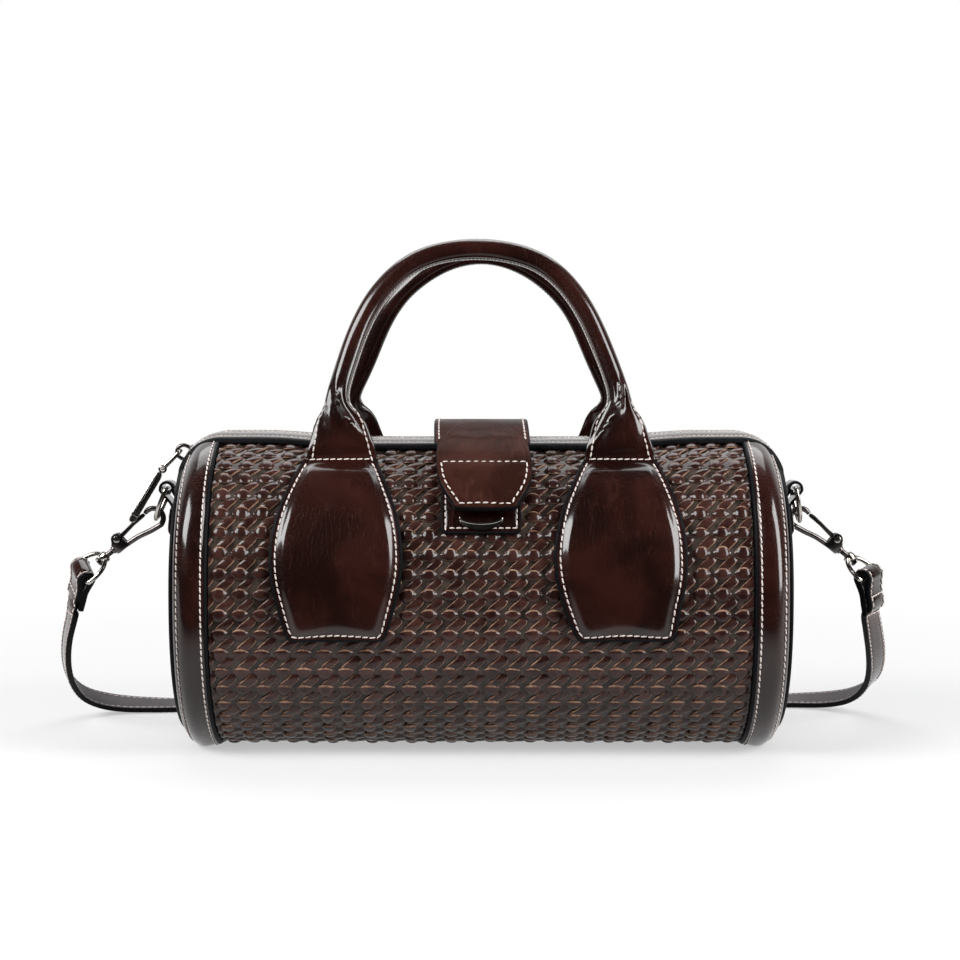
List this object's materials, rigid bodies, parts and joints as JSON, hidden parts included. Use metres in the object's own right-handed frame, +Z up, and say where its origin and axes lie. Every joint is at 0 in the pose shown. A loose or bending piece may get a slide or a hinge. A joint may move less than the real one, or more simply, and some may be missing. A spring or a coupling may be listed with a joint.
{
  "type": "bowling bag",
  "caption": "Barrel-shaped woven leather bowling bag with smooth end bands, rolled handles, zipped top, closing flap and clip-on shoulder strap.",
  "frame": {"origin": "on the floor under the middle of the barrel", "axes": "+X along the barrel to its right end seen from the front, -Y the front with the catch, +Z up"},
  "size_m": [0.433, 0.1671, 0.2522],
  "materials": {
    "glazed_leather": "glossy glazed calf leather",
    "woven_leather": "semi-gloss woven strips",
    "painted_edge": "dark edge paint",
    "lining_cloth": "matte woven cloth",
    "polished_nickel": "polished nickel plate",
    "dark_nickel": "dark nickel plate",
    "stiffener_board": "matte",
    "strap_leather": "semi-gloss leather"
  },
  "bodies": {
    "bag": {"woven_panel": "woven_leather", "left_end_band": "glazed_leather", "right_end_band": "glazed_leather", "left_end_panel": "glazed_leather", "right_end_panel": "glazed_leather", "left_end_piping": "painted_edge", "right_end_piping": "painted_edge", "front_gusset_strip": "glazed_leather", "back_gusset_strip": "glazed_leather", "zip_tape_front": "lining_cloth", "zip_tape_back": "lining_cloth", "zip_teeth_front": "polished_nickel", "zip_teeth_back": "polished_nickel", "left_zip_stop": "polished_nickel", "right_zip_stop": "polished_nickel", "lining": "lining_cloth", "base_board": "stiffener_board", "catch_patch": "glazed_leather", "catch_magnet": "polished_nickel", "catch_keeper": "dark_nickel", "flap_anchor": "glazed_leather", "left_dring_tab": "glazed_leather", "right_dring_tab": "glazed_leather", "left_swivel_ring": "polished_nickel", "right_swivel_ring": "polished_nickel", "shoulder_strap": "strap_leather", "front_left_patch_backing": "painted_edge", "front_left_patch": "glazed_leather", "front_right_patch_backing": "painted_edge", "front_right_patch": "glazed_leather", "back_left_patch_backing": "painted_edge", "back_left_patch": "glazed_leather", "back_right_patch_backing": "painted_edge", "back_right_patch": "glazed_leather"},
    "front_handle": {"front_handle_cover": "glazed_leather", "front_handle_core": "stiffener_board", "front_left_neck": "glazed_leather", "front_right_neck": "glazed_leather"},
    "back_handle": {"back_handle_cover": "glazed_leather", "back_handle_core": "stiffener_board", "back_left_neck": "glazed_leather", "back_right_neck": "glazed_leather"},
    "flap": {"flap_strap": "glazed_leather", "flap_facing": "glazed_leather", "flap_magnet": "polished_nickel"},
    "zip_slider": {"zip_slider": "dark_nickel"},
    "zip_link": {"zip_pull_link": "polished_nickel"},
    "zip_bar": {"zip_pull_bar": "polished_nickel"},
    "left_dring": {"left_dring": "polished_nickel"},
    "right_dring": {"right_dring": "polished_nickel"},
    "left_hook": {"left_hook_body": "polished_nickel", "left_hook_pin": "polished_nickel"},
    "right_hook": {"right_hook_body": "polished_nickel", "right_hook_pin": "polished_nickel"},
    "left_gate": {"left_hook_gate": "polished_nickel"},
    "right_gate": {"right_hook_gate": "polished_nickel"}
  },
  "joints": [
    {"name": "front_handle_fold", "type": "hinge", "parent": "bag", "child": "front_handle", "pos_m": [0, -0.04594, 0.147], "axis": [1, 0, 0], "range_deg": [-7, 120]},
    {"name": "back_handle_fold", "type": "hinge", "parent": "bag", "child": "back_handle", "pos_m": [0, 0.04594, 0.147], "axis": [-1, 0, 0], "range_deg": [-7, 120]},
    {"name": "flap_fold", "type": "hinge", "parent": "bag", "child": "flap", "pos_m": [0, 0.03542, 0.14901], "axis": [-1, 0, 0], "range_deg": [0, 60]},
    {"name": "slider_travel", "type": "hinge", "parent": "bag", "child": "zip_slider", "pos_m": [-0.127, 0, 0.1332], "axis": [0, 1, 0], "range_deg": [0, 55]},
    {"name": "link_swing", "type": "hinge", "parent": "zip_slider", "child": "zip_link", "pos_m": [-0.15104, 0, 0.14493], "axis": [0, 1, 0], "range_deg": [0, 110]},
    {"name": "bar_swing", "type": "hinge", "parent": "zip_link", "child": "zip_bar", "pos_m": [-0.16038, 0, 0.13559], "axis": [0, 1, 0], "range_deg": [0, 60]},
    {"name": "left_dring_swing", "type": "hinge", "parent": "bag", "child": "left_dring", "pos_m": [-0.1576, 0, 0.126], "axis": [0, 1, 0], "range_deg": [-3, 6]},
    {"name": "right_dring_swing", "type": "hinge", "parent": "bag", "child": "right_dring", "pos_m": [0.1576, 0, 0.126], "axis": [0, -1, 0], "range_deg": [-3, 6]},
    {"name": "left_hook_swivel", "type": "hinge", "parent": "bag", "child": "left_hook", "pos_m": [-0.19021, 0, 0.09092], "axis": [-0.7826, 0, -0.6225], "range_deg": [-10, 10]},
    {"name": "right_hook_swivel", "type": "hinge", "parent": "bag", "child": "right_hook", "pos_m": [0.18614, 0, 0.09086], "axis": [0.7826, 0, -0.6225], "range_deg": [-10, 10]},
    {"name": "left_gate_pivot", "type": "hinge", "parent": "left_hook", "child": "left_gate", "pos_m": [-0.18346, 0, 0.10025], "axis": [0, 1, 0], "range_deg": [0, 20], "stiffness_Nm_per_rad": 0.05, "springref_deg": -20.05},
    {"name": "right_gate_pivot", "type": "hinge", "parent": "right_hook", "child": "right_gate", "pos_m": [0.17938, 0, 0.1002], "axis": [0, -1, 0], "range_deg": [0, 20], "stiffness_Nm_per_rad": 0.05, "springref_deg": -20.05}
  ]
}
